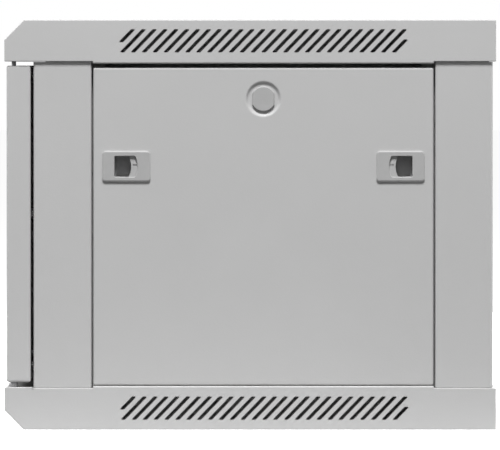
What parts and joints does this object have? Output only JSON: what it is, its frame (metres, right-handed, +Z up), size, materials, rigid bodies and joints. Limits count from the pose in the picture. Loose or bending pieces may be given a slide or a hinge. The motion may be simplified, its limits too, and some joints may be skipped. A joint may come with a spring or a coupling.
{
  "type": "telecommunication cabinet",
  "caption": "Wall-mounted steel rack cabinet with a glazed hinged door, latched lift-off side panels, slotted roof and base trays and square-hole equipment rails.",
  "frame": {"origin": "centre of the base's underside", "axes": "+Z up; the door faces -Y and the wall is at +Y; +X is on the right of a person facing the door, which is the hinge side"},
  "size_m": [0.6, 0.45, 0.3752],
  "materials": {
    "cabinet_paint": "light grey powder coat with a fine orange peel",
    "zinc_plated_steel": "zinc plated",
    "spring_steel": "oiled spring steel",
    "latch_grey_plastic": "moulded satin",
    "latch_dark_plastic": "moulded matt",
    "smoked_glass": "tempered and smoked",
    "gasket_rubber": "matt",
    "lock_chrome": "bright plated"
  },
  "bodies": {
    "cabinet": {"base": "cabinet_paint", "roof": "cabinet_paint", "tray_stiffeners": "cabinet_paint", "base_cable_cover": "cabinet_paint", "roof_cable_cover": "cabinet_paint", "back_cable_cover": "cabinet_paint", "back_panel": "cabinet_paint", "upper_support_right": "cabinet_paint", "upper_support_left": "cabinet_paint", "lower_support_right": "cabinet_paint", "lower_support_left": "cabinet_paint", "upper_hinge_bush": "zinc_plated_steel", "lower_hinge_bush": "zinc_plated_steel", "earth_stud": "zinc_plated_steel", "earth_nut": "zinc_plated_steel", "pan_screws": "zinc_plated_steel", "column_bolts": "zinc_plated_steel", "column_nuts": "zinc_plated_steel", "rail_bolts": "zinc_plated_steel", "rail_nuts": "zinc_plated_steel", "front_column_right": "cabinet_paint", "rear_column_right": "cabinet_paint", "rack_rail_front_right": "zinc_plated_steel", "rack_rail_rear_right": "zinc_plated_steel", "front_column_left": "cabinet_paint", "rear_column_left": "cabinet_paint", "rack_rail_front_left": "zinc_plated_steel", "rack_rail_rear_left": "zinc_plated_steel"},
    "door": {"door_frame": "cabinet_paint", "door_glass": "smoked_glass", "glass_gasket": "gasket_rubber", "glass_clips": "spring_steel", "hinge_brackets": "cabinet_paint", "lower_hinge_pin": "zinc_plated_steel", "hinge_pin_spring": "spring_steel", "lock_housing": "lock_chrome", "lock_nut": "zinc_plated_steel", "door_earth_stud": "zinc_plated_steel"},
    "hinge_pin": {"upper_hinge_pin": "zinc_plated_steel"},
    "lock": {"lock_barrel": "lock_chrome", "lock_cam": "zinc_plated_steel", "lock_cam_screw": "zinc_plated_steel"},
    "panel_right": {"side_panel_right": "cabinet_paint", "lock_blank_right": "latch_grey_plastic", "panel_pegs_right": "zinc_plated_steel", "latch_housing_right_front": "latch_grey_plastic", "latch_housing_right_rear": "latch_grey_plastic"},
    "latch_right_front": {"latch_bolt_right_front": "latch_dark_plastic", "latch_lip_right_front": "latch_grey_plastic"},
    "latch_right_rear": {"latch_bolt_right_rear": "latch_dark_plastic", "latch_lip_right_rear": "latch_grey_plastic"},
    "panel_left": {"side_panel_left": "cabinet_paint", "lock_blank_left": "latch_grey_plastic", "panel_pegs_left": "zinc_plated_steel", "latch_housing_left_front": "latch_grey_plastic", "latch_housing_left_rear": "latch_grey_plastic"},
    "latch_left_front": {"latch_bolt_left_front": "latch_dark_plastic", "latch_lip_left_front": "latch_grey_plastic"},
    "latch_left_rear": {"latch_bolt_left_rear": "latch_dark_plastic", "latch_lip_left_rear": "latch_grey_plastic"}
  },
  "joints": [
    {"name": "door_swing", "type": "hinge", "parent": "cabinet", "child": "door", "pos_m": [0.2885, -0.2165, 0.1884], "axis": [0, 0, 1], "range_deg": [0, 180]},
    {"name": "lock_turn", "type": "hinge", "parent": "door", "child": "lock", "pos_m": [-0.266, -0.205, 0.1884], "axis": [0, 1, 0], "range_deg": [0, 90]},
    {"name": "hinge_pin_draw", "type": "slide", "parent": "door", "child": "hinge_pin", "axis": [0, 0, -1], "range_m": [0, 0.006], "stiffness_N_per_m": 400, "springref_m": -0.004, "deforming": ["hinge_pin_spring"]},
    {"name": "panel_right_pull", "type": "slide", "parent": "cabinet", "child": "panel_right", "axis": [1, 0, 0], "range_m": [0, 0.06]},
    {"name": "latch_right_front_slide", "type": "slide", "parent": "panel_right", "child": "latch_right_front", "axis": [0, -1, 0], "range_m": [0, 0.0068]},
    {"name": "latch_right_rear_slide", "type": "slide", "parent": "panel_right", "child": "latch_right_rear", "axis": [0, 1, 0], "range_m": [0, 0.0068]},
    {"name": "panel_left_pull", "type": "slide", "parent": "cabinet", "child": "panel_left", "axis": [-1, 0, 0], "range_m": [0, 0.06]},
    {"name": "latch_left_front_slide", "type": "slide", "parent": "panel_left", "child": "latch_left_front", "axis": [0, -1, 0], "range_m": [0, 0.0068]},
    {"name": "latch_left_rear_slide", "type": "slide", "parent": "panel_left", "child": "latch_left_rear", "axis": [0, 1, 0], "range_m": [0, 0.0068]}
  ]
}
